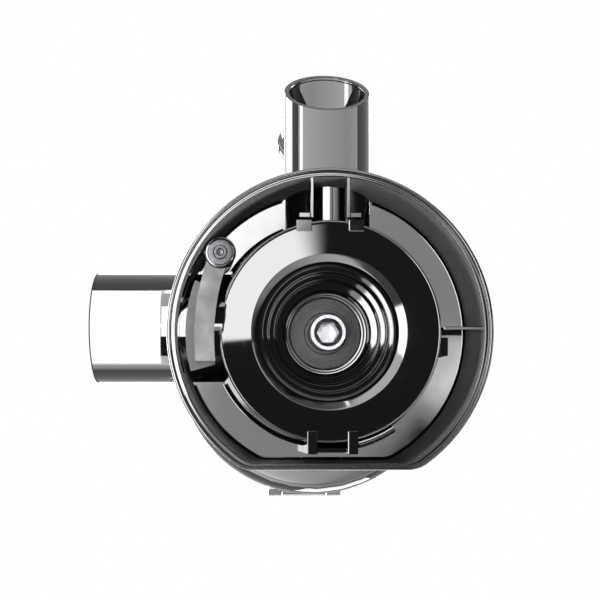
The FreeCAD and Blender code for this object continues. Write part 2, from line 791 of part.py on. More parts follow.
def auger_section(level):
    """Section of the screw: a round core with one broad flight that turns with the height."""
    part = (level - auger_low_z) / (auger_top_z - auger_low_z)
    core = auger_core_low_r + (auger_core_top_r - auger_core_low_r) * part ** 0.8
    tip = auger_tip_r + (auger_tip_top_r - auger_tip_r) * part ** 2
    turn = 2 * math.pi * (level - auger_low_z) / auger_pitch
    count = 30
    points = []
    for i in range(count):
        angle = 2 * math.pi * i / count
        bump = (0.5 + 0.5 * math.cos(angle)) ** 3.2
        radius = core + (tip - core) * bump
        points.append(Vector(radius * math.cos(angle + turn), radius * math.sin(angle + turn), level))
    curve = Part.BSplineCurve()
    curve.interpolate(points, PeriodicFlag=True)
    return Part.Wire(curve.toShape())


def make_auger():
    """Screw: turned sections lofted into a tapering core with its flight, on a stub and with a nose."""
    count = 13
    step = (auger_top_z - auger_low_z) / (count - 1)
    sections = [auger_section(auger_low_z + step * i) for i in range(count)]
    screw = Part.makeLoft(sections, True, False)
    stub = cylinder(auger_stub_r, gear_low(), gear_high())
    neck = cylinder(auger_neck_r, gear_high(), auger_low_z)
    nose = cylinder(auger_nose_r, auger_top_z, auger_nose_top)
    screw = screw.fuse(neck).fuse(stub).fuse(nose)
    return screw.cut(cylinder(drive_r, 0, drive_top_z))


def circle_wire(radius, y, level):
    return Part.Wire(Part.makeCircle(radius, Vector(0, y, level), axis_z))


def shoulder_loft(inset, low):
    """Bowl-shaped flare from the lid's collar out and back to the shoulder."""
    sections = []
    steps = 6
    for i in range(steps + 1):
        turn = math.radians(90.0 * i / steps)
        spread = math.sin(turn)
        rise = 1 - math.cos(turn)
        radius = lid_collar_r + (shoulder_r - lid_collar_r) * spread - inset
        level = low + (shoulder_z - low) * rise
        sections.append(circle_wire(radius, shoulder_shift * spread, level))
    return Part.makeLoft(sections, True, True)


def feed_sector(low, high):
    return sector(feed_low_r, feed_high_r, low, high, 90, feed_half_angle)


def make_bowl_lid():
    plate_top = lid_plate_z + lid_plate_t
    collar_in = drum_top_r + drum_bead + lid_collar_gap
    collar = ring(lid_collar_r, collar_in, lid_collar_z, lid_plate_z + 0.5)
    plate = cylinder(lid_collar_r, lid_plate_z, plate_top - 0.5)
    flare = shoulder_loft(0, lid_plate_z + 0.5).cut(shoulder_loft(lid_wall, plate_top))
    lid = plate.fuse(collar).fuse(flare)
    tower_top = auger_nose_top + 3.2
    tower = cylinder(tower_r, lid_plate_z - 2.0, tower_top)
    lid = lid.fuse(tower).cut(feed_sector(lid_plate_z - 3, shoulder_z))
    return lid.cut(cylinder(nose_bush_r, lid_plate_z - 3, auger_nose_top + 0.6))


def make_lid_bush():
    return ring(nose_bush_r - 0.01, auger_nose_r + running_gap, lid_plate_z - 2.0, auger_nose_top + 0.6)


def make_lid_seal():
    ledge = drum_top_r - drum_wall + 1.6
    return ring(drum_top_r + 0.6, ledge + 0.6, drum_top_z, lid_plate_z)


def hopper_hinge_y():
    return shoulder_shift + hopper_top_r + hopper_hinge_reach


def hopper_pin_end():
    return hopper_ear_inner + hopper_ear_t


def hopper_hinge_bar(radius, length, middle_x=0.0):
    """Round bar on the axis of the hopper lid's hinge."""
    start = Vector(middle_x - length / 2, hopper_hinge_y(), hopper_hinge_z)
    return Part.makeCylinder(radius, length, start, Vector(1, 0, 0))


def make_hopper():
    """Tall round hopper on the lid's shoulder, with a top bead and two hinge ears at the back."""
    y = shoulder_shift
    top = hopper_top_z
    outer = Part.makeCone(shoulder_r, hopper_top_r, top - shoulder_z, Vector(0, y, shoulder_z), axis_z)
    inner_low = shoulder_r - hopper_wall
    inner_top = hopper_top_r - hopper_wall
    inner = Part.makeCone(inner_low, inner_top, top - shoulder_z, Vector(0, y, shoulder_z), axis_z)
    hopper = outer.cut(inner)
    spigot_in = shoulder_r - lid_wall - 2.2
    spigot = ring(shoulder_r - lid_wall - fit_gap, spigot_in, shoulder_z - 2.0, shoulder_z + 3.0, 0, y)
    seat = ring(shoulder_r - 1.0, spigot_in, shoulder_z, shoulder_z + 3.0, 0, y)
    hopper = hopper.fuse(spigot).fuse(seat)
    hinge_y = hopper_hinge_y()
    for side in (-1, 1):
        low = min(side * hopper_ear_inner, side * (hopper_ear_inner + hopper_ear_t))
        profile = [
            (hinge_y - 5.0, top - 16.0), (hinge_y - 1.0, top - 10.0, 3.0),
            (hinge_y + hinge_r, hopper_hinge_z),
            (hinge_y - hinge_r, hopper_hinge_z), (hinge_y - 5.0, top - 1.0),
        ]
        ear = outline(profile, "YZ", low).extrude(Vector(hopper_ear_t, 0, 0))
        start = Vector(low, hinge_y, hopper_hinge_z)
        knuckle = Part.makeCylinder(hinge_r, hopper_ear_t, start, Vector(1, 0, 0))
        hopper = hopper.fuse(ear.fuse(knuckle).cut(inner))
    return hopper.cut(hopper_hinge_bar(hinge_pin_r, 2 * hopper_pin_end())).removeSplitter()


def make_hopper_lid():
    """Crowned lid that closes the hopper, with a skirt inside the rim, a finger lip and a hinge knuckle."""
    y = shoulder_shift
    low = hopper_top_z + fit_gap
    crown = hopper_lid_crown
    t = hopper_lid_t
    edge = hopper_top_r - 0.6
    inside = hopper_top_r - hopper_wall - 0.7
    sphere_r = (edge ** 2 + crown ** 2) / (2 * crown)
    dome = Part.makeSphere(sphere_r, Vector(0, y, low + t + crown - sphere_r))
    body = cylinder(edge, low, low + t + crown, 0, y).common(dome)
    hollow_r = sphere_r - t
    hollow = Part.makeSphere(hollow_r, Vector(0, y, low + t + crown - sphere_r))
    hollow = hollow.common(cylinder(inside - 2.4, low - 20, low + t + crown, 0, y))
    skirt = ring(inside, inside - 2.4, low - hopper_lid_skirt, low + t, 0, y)
    lid = body.fuse(skirt).cut(hollow)
    lip_y = y - edge
    reach = finger_lip_reach
    lip = block(-finger_lip_half, finger_lip_half, lip_y - reach, lip_y + reach, low, low + t)
    lip = lip.cut(cylinder(inside - 1, low - 1, low + t + 1, 0, y))
    hinge_y = hopper_hinge_y()
    half = hopper_ear_inner - hopper_ear_gap
    arm = block(-half, half, hinge_y - 9.0, hinge_y, hopper_hinge_z - 1.0, hopper_hinge_z + hinge_r)
    knuckle = hopper_hinge_bar(hinge_r, 2 * half)
    lid = lid.fuse(lip).fuse(arm.fuse(knuckle).cut(hollow))
    room = hopper_ear_t + 1.4
    for side in (-1, 1):
        lid = lid.cut(hopper_hinge_bar(hinge_r + 0.5, room, side * (half + room / 2)))
    return lid.cut(hopper_hinge_bar(hinge_pin_r + running_gap, 2 * hopper_pin_end())).removeSplitter()


def make_hopper_pin():
    return hopper_hinge_bar(hinge_pin_r, 2 * hopper_pin_end())


def lever_edge(offset):
    """Three points of an arc beside the lever's middle line."""
    points = [(lever_pivot_x, lever_pivot_y), (lever_mid_x, lever_mid_y), (lever_tip_x, lever_tip_y)]
    first = Vector(points[1][0] - points[0][0], points[1][1] - points[0][1], 0).normalize()
    last = Vector(points[2][0] - points[1][0], points[2][1] - points[1][1], 0).normalize()
    ways = (first, (first + last).normalize(), last)
    return [Vector(p[0] - w.y * offset, p[1] + w.x * offset, lever_low_z) for p, w in zip(points, ways)]


def make_lever():
    """Curved flat lever whose eye turns on the screw's shank."""
    left = lever_edge(lever_width / 2)
    right = lever_edge(-lever_width / 2)
    edges = [
        Part.Arc(left[0], left[1], left[2]).toShape(),
        Part.LineSegment(left[2], right[2]).toShape(),
        Part.Arc(right[2], right[1], right[0]).toShape(),
        Part.LineSegment(right[0], left[0]).toShape(),
    ]
    arm = Part.Face(Part.Wire(edges)).extrude(Vector(0, 0, lever_t))
    eye = cylinder(lever_hub_r - 1.2, lever_low_z, lever_low_z + lever_t, lever_pivot_x, lever_pivot_y)
    bore = cylinder(screw_shank_r + running_gap, 0, 40, lever_pivot_x, lever_pivot_y)
    return arm.fuse(eye).cut(bore).removeSplitter()


def make_lever_hub():
    low = lever_low_z - lever_hub_t
    return ring(lever_hub_r, screw_shank_r + running_gap, low, lever_low_z, lever_pivot_x, lever_pivot_y)


def make_pulp_plug():
    """Soft pad on the lever that closes the clean-out hole from below."""
    low = lever_low_z + lever_t
    middle = math.degrees(math.atan2(pulp_y, cleanout_x))
    pad = sector(plug_low_r, plug_high_r, low, plug_top_z, middle, plug_half_angle)
    post = cylinder(post_r + 1.0, 0, 40, lever_pivot_x, lever_pivot_y)
    return pad.cut(post)


def make_washer():
    top = lever_low_z - lever_hub_t - 0.05
    return ring(washer_r, screw_shank_r + 0.01, top - washer_t, top, lever_pivot_x, lever_pivot_y)


def make_screw():
    seat = lever_low_z - lever_hub_t - 0.05 - washer_t
    head = cylinder(screw_head_r, seat - screw_head_t, seat, lever_pivot_x, lever_pivot_y)
    shank = cylinder(screw_shank_r - 0.01, seat, lever_low_z + screw_length - 1, lever_pivot_x, lever_pivot_y)
    recess = hexagon(2 * screw_recess_r, seat - screw_head_t, seat - 0.8)
    recess.translate(Vector(lever_pivot_x, lever_pivot_y, 0))
    return head.fuse(shank).cut(recess)


def main():
    os.makedirs("parts", exist_ok=True)
    nodes = {
        "bowl_skirt": make_skirt(),
        "bowl_hub": make_hub(),
        "bowl_floor": make_floor(),
        "bowl_drum": make_drum(),
        "juice_spout": make_juice_spout(),
        "pulp_spout": make_pulp_spout(),
        "shaft_seal": make_shaft_seal(),
        "shaft_bush": make_shaft_bush(),
        "pinion_pins": make_pinion_pins(),
        "strainer_frame": make_strainer_frame(),
        "strainer_mesh": make_strainer_mesh(),
        "drive_socket": make_drive_socket(),
        "auger": make_auger(),
        "auger_gear": make_auger_gear(),
        "pinion_rear": make_pinion(pinion_places()[0]),
        "pinion_front": make_pinion(pinion_places()[1]),
        "brush_frame": make_brush_frame(),
        "brush_wipers": Part.makeCompound(wiper_blades()),
        "juice_cap": make_cap(),
        "cap_seal": make_cap_seal(),
        "cap_pin": make_cap_pin(),
        "pulp_lever": make_lever(),
        "lever_hub": make_lever_hub(),
        "pulp_plug": make_pulp_plug(),
        "lever_washer": make_washer(),
        "lever_screw": make_screw(),
        "bowl_lid": make_bowl_lid(),
        "lid_bush": make_lid_bush(),
        "lid_seal": make_lid_seal(),
        "feed_hopper": make_hopper(),
        "hopper_lid": make_hopper_lid(),
        "hopper_pin": make_hopper_pin(),
    }
    for name, shape in nodes.items():
        shape.exportStep("parts/" + name + ".step")
        print(name, "solids:", len(shape.Solids))


main()
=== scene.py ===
import math

import bpy
import numpy as np
from bpy.props import FloatProperty, IntProperty, PointerProperty
from mathutils import Matrix, Vector


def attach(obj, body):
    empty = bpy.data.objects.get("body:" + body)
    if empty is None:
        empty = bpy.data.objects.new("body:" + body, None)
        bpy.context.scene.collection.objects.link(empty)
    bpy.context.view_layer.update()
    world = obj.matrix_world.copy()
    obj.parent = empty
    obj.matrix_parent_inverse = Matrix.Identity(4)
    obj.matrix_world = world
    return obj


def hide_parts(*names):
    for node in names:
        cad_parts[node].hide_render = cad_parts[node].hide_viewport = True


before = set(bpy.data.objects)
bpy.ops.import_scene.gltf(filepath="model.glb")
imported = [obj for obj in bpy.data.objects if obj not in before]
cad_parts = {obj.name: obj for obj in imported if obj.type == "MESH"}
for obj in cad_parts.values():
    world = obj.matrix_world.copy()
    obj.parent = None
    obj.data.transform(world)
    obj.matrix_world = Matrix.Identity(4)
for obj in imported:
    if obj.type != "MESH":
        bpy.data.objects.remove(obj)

bl_info = {
    "name": "Juicing head looks",
    "version": (1, 0, 0),
    "blender": (4, 5, 0),
    "location": "View3D > Sidebar > Juicing head",
    "description": "Finishes, smooth edges, small pieces, light and camera for a cold press juicing head",
    "category": "Object",
}

# Sizes of the construction that the smooth pieces follow, in metres
MM = 0.001
SKIRT_R = 80.0 * MM
SKIRT_FLAT = 67.7 * MM
SKIRT_CORNER = 16.0 * MM
JUICE_X = 1.3 * MM
SPOUT_Z = 46.5 * MM
JUICE_R = 21.6 * MM
JUICE_WALL = 2.6 * MM
JUICE_MOUTH_Y = -123.2 * MM
JUICE_MOUTH_ANGLE = math.radians(28.8)
PULP_R = 27.4 * MM
PULP_WALL = 2.6 * MM
PULP_BORE_R = 25.2 * MM
PULP_Y = -2.8 * MM
PULP_MOUTH_X = -114.1 * MM
PULP_MOUTH_LEAN = math.tan(math.radians(8.5))
LEVER_X = -53.7 * MM
LEVER_Y = -38.8 * MM

# Number of a tube's axis and a point on it
TUBES = {"juice_spout": (1, (JUICE_X, 0, SPOUT_Z)), "pulp_spout": (0, (0, PULP_Y, SPOUT_Z))}

SLOT_Z = (10.6 * MM, 17.8 * MM)
SLOT_ANGLE = (164.0, 212.0)
SKIRT_HEIGHT = 43.0 * MM
SKIRT_WALL = 4.3 * MM
FLAT_WALL = 3.1 * MM
SKIRT_DRAFT = 4.8 * MM
FLAT_DRAFT = 1.3 * MM
RABBET_INSET = 2.1 * MM
FLAT_RABBET_INSET = 2.0 * MM
RABBET_DEPTH = 1.4 * MM
POST_R = 7.8 * MM
POST_Z = 14.6 * MM

# Small clearances that keep two surfaces from lying in one plane
RIM_RISE = 0.09 * MM
FOOT_DROP = 0.02 * MM
EDGE_STANDOUT = 0.04 * MM
EDGE_WIDTH = 0.6 * MM

# How far the centre of the juice spout's lip lies inside the mouth, as a share of its radius
JUICE_LIP_SETBACK = 1.07

HUB_CHORD = 52.7 * MM
HUB_CHORD_ANGLE = math.radians(186.7)

# Radius, height and fillet of the hub's outline, in millimetres, from its outer top to its seal seat
HUB_LINE = [
    (56.2, 43, 0), (54.3, 1.0, 0.9), (38.5, 10, 0.9), (34.6, 13.4, 0.8), (32.6, 18, 0.5),
    (30.0, 18.6, 0.5), (29.2, 25.0, 0.5), (26.4, 25.6, 0.5), (25.6, 30.0, 0.5), (22.1, 30.6, 0.5),
    (21.3, 36, 0.3), (20.9, 40.5, 0.5), (18.1, 40.5, 0.3), (18.1, 43, 0),
]

# Inner and outer radius of the hub's curved rib, its lowest level and its two end angles in degrees
CURVED_RIB_R = (55.5 * MM, 58.9 * MM)
CURVED_RIB_Z = 6.0 * MM
CURVED_RIB_ANGLES = (56.5, 75.5)

# The seal's ribs: radius of the first, pitch, level of its foot and of its crown
SEAL_RIB_R = 14.4 * MM
SEAL_RIB_PITCH = 1.1 * MM
SEAL_RIB_Z = (40.4 * MM, 40.02 * MM)

# The camera stands under the head and looks up at it
CAMERA_PLACE = (-0.0775, 0.0387, -1.100)
CAMERA_TARGET = (-0.01505, -0.01505, 0.0)
CAMERA_LENS = 136.0

# Lowest and highest corners of the straight ribs, in millimetres
SKIRT_BARS = [
    ((-9.85, -77.4, 1.6), (-8.15, -55.5, 27.5)), ((8.15, -77.4, 1.6), (9.85, -55.5, 27.5)),
    ((-15.25, -58.1, 1.6), (-9.85, -55.5, 28.5)), ((9.85, -58.1, 1.6), (15.25, -55.5, 29.5)),
    ((55.5, -2.35, 1.6), (76.0, -0.65, 43.0)),
]
HUB_BARS = [
    ((-16.6, -54.6, 1.0), (-9.0, -48.8, 10.0)), ((9.0, -54.6, 1.0), (16.6, -48.8, 10.0)),
    ((-11.4, 48.6, 1.0), (-6.4, 60.0, 10.0)), ((8.5, 48.6, 1.0), (13.5, 60.0, 10.0)),
    ((-11.4, 53.8, 9.0), (-6.4, 60.0, 43.0)), ((8.5, 53.8, 9.0), (13.5, 60.0, 43.0)),
    ((-6.4, 56.8, 4.0), (8.5, 59.2, 43.0)), ((53.8, 3.0, 2.0), (57.6, 12.0, 43.0)),
]


# Surfaces

def smooth_normals(obj, limit_deg, tube=None):
    """Rounds the shading of a faceted mesh.

    Each corner takes the area-weighted mean of the face normals that meet at its point and lie
    within the limit of its own face's normal, so curved faces shade smooth and edges stay sharp.
    Corners on a tube, given as the number of its axis and a point on it, take the normal that
    points straight away from that axis.
    """
    mesh = obj.data
    loops = np.zeros(len(mesh.loops), np.int32)
    mesh.loops.foreach_get("vertex_index", loops)
    points = np.zeros(len(mesh.vertices) * 3)
    mesh.vertices.foreach_get("co", points)
    points = points.reshape(-1, 3)
    normals = np.zeros(len(mesh.polygons) * 3)
    mesh.polygons.foreach_get("normal", normals)
    normals = normals.reshape(-1, 3)
    areas = np.zeros(len(mesh.polygons))
    mesh.polygons.foreach_get("area", areas)
    totals = np.zeros(len(mesh.polygons), np.int32)
    mesh.polygons.foreach_get("loop_total", totals)
    face_of = np.repeat(np.arange(len(totals)), totals)
    keys = np.round(points[loops] / 2e-6).astype(np.int64)
    _, place = np.unique(keys, axis=0, return_inverse=True)
    place = place.ravel()
    order = np.argsort(place, kind="stable")
    starts = np.searchsorted(place[order], np.arange(place.max() + 2))
    limit = math.cos(math.radians(limit_deg))
    result = normals[face_of].copy()
    for i in range(len(starts) - 1):
        corners = order[starts[i]:starts[i + 1]]
        faces = face_of[corners]
        near = normals[faces] @ normals[faces].T
        weights = np.where(near >= limit, areas[faces][None, :] + 1e-12, 0.0)
        mean = weights @ normals[faces]
        length = np.linalg.norm(mean, axis=1, keepdims=True)
        result[corners] = mean / np.maximum(length, 1e-12)
    if tube:
        axis, centre = tube
        away = points[loops] - np.array(centre)
        away[:, axis] = 0
        away /= np.maximum(np.linalg.norm(away, axis=1, keepdims=True), 1e-9)
        along = (away * normals[face_of]).sum(axis=1)
        round_face = np.abs(along) > 0.985
        result[round_face] = (away * np.sign(along)[:, None])[round_face]
    mesh.shade_smooth()
    mesh.normals_split_custom_set(result.tolist())


def grid_piece(name, rows, body, material, close_u=True, close_v=False, opening=None, second=None):
    """A surface through a grid of points: rows by columns, joined to quads, closed either way.

    Quads whose centre lies in the opening, a test of an array of points, are left out. Those
    from a given row on, and before a last one, take the second material.
    """
    rows = np.asarray(rows, float)
    height, width = rows.shape[0], rows.shape[1]
    mesh = bpy.data.meshes.new(name)
    i = np.arange(height if close_v else height - 1)
    j = np.arange(width if close_u else width - 1)
    ii, jj = np.meshgrid(i, j, indexing="ij")
    a = (ii % height) * width + jj % width
    b = (ii % height) * width + (jj + 1) % width
    c = ((ii + 1) % height) * width + (jj + 1) % width
    d = ((ii + 1) % height) * width + jj % width
    faces = np.stack([a, b, c, d], axis=-1).reshape(-1, 4)
    row_of = ii.reshape(-1)
    if opening:
        closed = opening(rows.reshape(-1, 3)[faces].mean(axis=1))
        faces, row_of = faces[~closed], row_of[~closed]
    mesh.vertices.add(height * width)
    mesh.vertices.foreach_set("co", rows.reshape(-1))
    mesh.loops.add(faces.size)
    mesh.loops.foreach_set("vertex_index", faces.reshape(-1).astype(np.int32))
    mesh.polygons.add(len(faces))
    mesh.polygons.foreach_set("loop_start", np.arange(0, faces.size, 4, dtype=np.int32))
    mesh.update(calc_edges=True)
    mesh.materials.append(material)
    if second:
        mesh.materials.append(second[0])
        chosen = (row_of >= second[1]) & (row_of < second[2])
        mesh.polygons.foreach_set("material_index", chosen.astype(np.int32))
    mesh.validate()
    mesh.shade_smooth()
    obj = bpy.data.objects.new(name, mesh)
    bpy.context.scene.collection.objects.link(obj)
    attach(obj, body)
    return obj


def rounded_line(corners, steps=6):
    """Points of an open line through corners (u, v, fillet radius), each fillet a circular arc."""
    out = []
    count = len(corners)
    for i, (u, v, r) in enumerate(corners):
        p = np.array([u, v])
        if r == 0 or i in (0, count - 1):
            out.append(p)
            continue
        a = np.array(corners[i - 1][:2]) - p
        b = np.array(corners[i + 1][:2]) - p
        a /= np.linalg.norm(a)
        b /= np.linalg.norm(b)
        half = math.acos(np.clip(a @ b, -1, 1)) / 2
        centre = p + (a + b) / np.linalg.norm(a + b) * r / math.sin(half)
        start = p + a * r / math.tan(half) - centre
        end = p + b * r / math.tan(half) - centre
        turn = math.pi - 2 * half
        for k in range(steps + 1):
            t = k / steps
            between = start * math.sin((1 - t) * turn) + end * math.sin(t * turn)
            out.append(centre + between / math.sin(turn))
    return np.array(out)


def divided(line, step):
    """The same line with points added so that no two lie further apart than a step."""
    out = [line[0]]
    for a, b in zip(line[:-1], line[1:]):
        count = max(1, math.ceil(np.linalg.norm(b - a) / step))
        out.extend(a + (b - a) * (k + 1) / count for k in range(count))
    return np.array(out)


def revolve_rows(line, segments, x=0.0, y=0.0):
    """Rows of a surface of revolution: each point (r, z) of the line goes round a vertical axis at (x, y)."""
    angle = np.linspace(0, 2 * math.pi, segments, endpoint=False)
    rows = []
    for r, z in line:
        rows.append(np.stack([x + r * np.cos(angle), y + r * np.sin(angle), np.full(segments, z)], axis=1))
    return np.array(rows)


def tube_rows(path, radius, segments=12, closed=True):
    """Rows of a round tube: at each path point, a circle across the path's direction."""
    path = np.asarray(path, float)
    if closed:
        ahead, behind = np.roll(path, -1, axis=0), np.roll(path, 1, axis=0)
    else:
        ahead = np.vstack([path[1:], path[-1:]])
        behind = np.vstack([path[:1], path[:-1]])
    tangent = ahead - behind
    tangent /= np.linalg.norm(tangent, axis=1, keepdims=True)
    mean = path.mean(axis=0)
    out = path - mean
    out -= (out * tangent).sum(axis=1, keepdims=True) * tangent
    out /= np.maximum(np.linalg.norm(out, axis=1, keepdims=True), 1e-9)
    side = np.cross(tangent, out)
    radius = np.broadcast_to(radius, len(path))
    rows = []
    for k in range(segments):
        turn = 2 * math.pi * k / segments
        rows.append(path + radius[:, None] * (math.cos(turn) * out + math.sin(turn) * side))
    return np.swapaxes(np.array(rows), 0, 1)


def foot_rounding(radius, height, steps=8):
    """Quarter circle between a wall and the floor above it, as pairs: way off the wall, level."""
    for turn in np.linspace(0, math.pi / 2, steps):
        yield radius * (1 - math.cos(turn)), height - radius * (1 - math.sin(turn)) - FOOT_DROP


def flat_round_path(radius, flat, corner, level, count=480):
    """Closed line of the skirt: a circle cut by one flat on +Y, its two corners rounded by arcs."""
    reach = radius - corner
    x = math.sqrt(reach ** 2 - (flat - corner) ** 2)
    lead = math.atan2(flat - corner, x)
    big = np.linspace(lead, lead - (math.pi + 2 * lead), count)
    points = [np.stack([radius * np.cos(big), radius * np.sin(big)], axis=1)]
    left = np.linspace(math.pi - lead, math.pi / 2, 14)
    points.append(np.stack([-x + corner * np.cos(left), flat - corner + corner * np.sin(left)], axis=1)[1:])
    span = np.linspace(-x, x, 30)
    points.append(np.stack([span, np.full(30, flat)], axis=1)[1:-1])
    right = np.linspace(math.pi / 2, lead, 14)
    points.append(np.stack([x + corner * np.cos(right), flat - corner + corner * np.sin(right)], axis=1)[:-1])
    line = np.vstack(points)
    return np.column_stack([line, np.full(len(line), level)])


def bar_piece(name, low, high, body, material, bevel=0.35, lean=0.0):
    """A bar between two corners, in millimetres, with every edge cut off at 45 degrees.

    Its underside rises by the lean, as a share of the way, towards +X and +Y.
    """
    low, high = np.array(low) * MM, np.array(high) * MM
    cut = min(bevel * MM, 0.45 * (high - low).min())
    points, corner = [], {}
    for signs in np.ndindex(2, 2, 2):
        at = np.where(signs, high, low)
        for axis in range(3):
            inward = np.where(signs, -cut, cut)
            inward[axis] = 0
            corner[signs, axis] = len(points)
            place = at + inward
            if not signs[2]:
                place[2] += lean * (place[0] - low[0] + place[1] - low[1])
            points.append(place)
    faces = [[corner[signs, axis] for axis in range(3)] for signs in np.ndindex(2, 2, 2)]
    for axis in range(3):
        others = [k for k in range(3) if k != axis]
        for side in (0, 1):
            ring = []
            for a, b in ((0, 0), (1, 0), (1, 1), (0, 1)):
                signs = [0, 0, 0]
                signs[axis], signs[others[0]], signs[others[1]] = side, a, b
                ring.append(corner[tuple(signs), axis])
            faces.append(ring)
        for a in (0, 1):
            for b in (0, 1):
                ends = []
                for side in (0, 1):
                    signs = [0, 0, 0]
                    signs[axis], signs[others[0]], signs[others[1]] = side, a, b
                    ends.append([corner[tuple(signs), others[0]], corner[tuple(signs), others[1]]])
                faces.append([ends[0][0], ends[0][1], ends[1][1], ends[1][0]])
    mesh = bpy.data.meshes.new(name)
    mesh.from_pydata([tuple(p) for p in points], [], faces)
    turn_outward(mesh)
    obj = bpy.data.objects.new(name, mesh)
    bpy.context.scene.collection.objects.link(obj)
    mesh.materials.append(material)
    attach(obj, body)
    return obj


def turn_outward(mesh):
    """Flips the faces of a convex mesh that look towards its middle."""
    middle = sum((v.co for v in mesh.vertices), Vector()) / len(mesh.vertices)
    for face in mesh.polygons:
        if face.normal.dot(face.center - middle) < 0:
            face.flip()
    mesh.update()


# Materials

class NodeMath:
    """Arithmetic in a node tree. Every value is a number or another node's output."""

    def __init__(self, tree):
        self.tree = tree

    def give(self, socket, value):
        if isinstance(value, (int, float)):
            socket.default_value = value
        else:
            self.tree.links.new(value, socket)

    def calc(self, kind, *values):
        """The result of one operation, named as Blender names it."""
        node = self.tree.nodes.new("ShaderNodeMath")
        node.operation = kind
        for socket, value in zip(node.inputs, values):
            self.give(socket, value)
        return node.outputs[0]

    def product(self, first, *others):
        for value in others:
            first = self.calc("MULTIPLY", first, value)
        return first

    def distance(self, u, v, centre=(0.0, 0.0)):
        """How far the point (u, v) lies from a centre."""
        du, dv = self.calc("SUBTRACT", u, centre[0]), self.calc("SUBTRACT", v, centre[1])
        return self.calc("SQRT", self.calc("ADD", self.product(du, du), self.product(dv, dv)))

    def ramp(self, value, start, end, low, high, smooth=True):
        """Goes from low to high while the value goes from start to end, and stays there beyond."""
        node = self.tree.nodes.new("ShaderNodeMapRange")
        if smooth:
            node.interpolation_type = "SMOOTHSTEP"
        names = ("Value", "From Min", "From Max", "To Min", "To Max")
        for name, item in zip(names, (value, start, end, low, high)):
            self.give(node.inputs[name], item)
        return node.outputs["Result"]


def colour(text):
    """A sRGB colour such as #1a1b1c as the linear values that shaders take."""
    values = [int(text[i:i + 2], 16) / 255 for i in (1, 3, 5)]
    linear = [v / 12.92 if v <= 0.04045 else ((v + 0.055) / 1.055) ** 2.4 for v in values]
    return (*linear, 1.0)


class Finish:
    """Builds one material's nodes: a principled surface with patterns in real millimetres."""

    def __init__(self, name, base, roughness, ior=1.5, metallic=0.0):
        self.material = bpy.data.materials.new(name)
        self.material.use_nodes = True
        self.nodes = self.material.node_tree.nodes
        self.links = self.material.node_tree.links
        self.surface = self.nodes["Principled BSDF"]
        self.surface.inputs["Base Color"].default_value = colour(base)
        self.surface.inputs["Roughness"].default_value = roughness
        self.surface.inputs["IOR"].default_value = ior
        self.surface.inputs["Metallic"].default_value = metallic
        self.place = self.nodes.new("ShaderNodeTexCoord")
        self.math = NodeMath(self.material.node_tree)

    def noise(self, size_mm, detail=3.0, stretch=(1, 1, 1)):
        """Noise whose grain has the given size; stretch makes it longer along an axis."""
        mapping = self.nodes.new("ShaderNodeMapping")
        mapping.inputs["Scale"].default_value = [1 / s for s in stretch]
        self.links.new(self.place.outputs["Object"], mapping.inputs["Vector"])
        node = self.nodes.new("ShaderNodeTexNoise")
        node.inputs["Scale"].default_value = 1000.0 / size_mm
        node.inputs["Detail"].default_value = detail
        self.links.new(mapping.outputs["Vector"], node.inputs["Vector"])
        return node.outputs["Fac"]

    def turned_rings(self, pitch_mm):
        """Fine rings round the vertical axis, as a lathe leaves on a face."""
        split = self.nodes.new("ShaderNodeSeparateXYZ")
        self.links.new(self.place.outputs["Object"], split.inputs["Vector"])
        radius = self.math.distance(split.outputs["X"], split.outputs["Y"])
        wave = self.math.product(radius, 2 * math.pi * 1000.0 / pitch_mm)
        return self.math.calc("MULTIPLY_ADD", self.math.calc("SINE", wave), 0.5, 0.5)

    def vary(self, socket, factor, low, high):
        """Lets a surface value follow a pattern between low and high."""
        varied = self.math.ramp(factor, 0.3, 0.7, low, high, smooth=False)
        self.links.new(varied, self.surface.inputs[socket])

    def tint(self, factor, low, high):
        """Lets the colour follow a pattern between two colours."""
        node = self.nodes.new("ShaderNodeMix")
        node.data_type = "RGBA"
        node.inputs[6].default_value = colour(low)
        node.inputs[7].default_value = colour(high)
        self.links.new(factor, node.inputs[0])
        self.links.new(node.outputs[2], self.surface.inputs["Base Color"])

    def bump(self, factor, depth_mm, strength=1.0):
        """Roughens the shading by a pattern, as if its grain had the given depth."""
        node = self.nodes.new("ShaderNodeBump")
        node.inputs["Strength"].default_value = strength
        node.inputs["Distance"].default_value = depth_mm * MM
        self.links.new(factor, node.inputs["Height"])
        self.links.new(node.outputs["Normal"], self.surface.inputs["Normal"])


def gloss_plastic(name, roughness):
    """Polished moulded plastic: nearly black, with a faint unevenness of the polish."""
    finish = Finish(name, "#040405", roughness, 1.54)
    finish.vary("Roughness", finish.noise(9.0), roughness * 0.7, roughness * 1.5)
    finish.bump(finish.noise(26.0, 1.0), 0.004, 0.25)
    return finish.material


def shaded_edge_finish(name):
    """Plastic edge with painted shade: nearly black, with hardly any reflection, so that it shows as a dark
    line.
    """
    finish = Finish(name, "#070708", 0.6, 1.12)
    finish.vary("Roughness", finish.noise(2.0), 0.5, 0.7)
    return finish.material


def matte_plastic(name, base, light, roughness):
    """Moulded plastic with a fine spark-eroded grain."""
    finish = Finish(name, base, roughness, 1.5)
    finish.tint(finish.noise(14.0), base, light)
    finish.vary("Roughness", finish.noise(3.0), roughness - 0.06, roughness + 0.06)
    finish.bump(finish.noise(0.45, 2.0), 0.02, 0.5)
    return finish.material


def silicone(name, base, light):
    """Soft silicone: dull, with a little sheen and fine dust-like mottling."""
    finish = Finish(name, base, 0.52, 1.43)
    finish.tint(finish.noise(5.0), base, light)
    finish.vary("Roughness", finish.noise(2.0), 0.44, 0.62)
    finish.bump(finish.noise(0.7, 2.0), 0.015, 0.4)
    finish.surface.inputs["Sheen Weight"].default_value = 0.15
    return finish.material


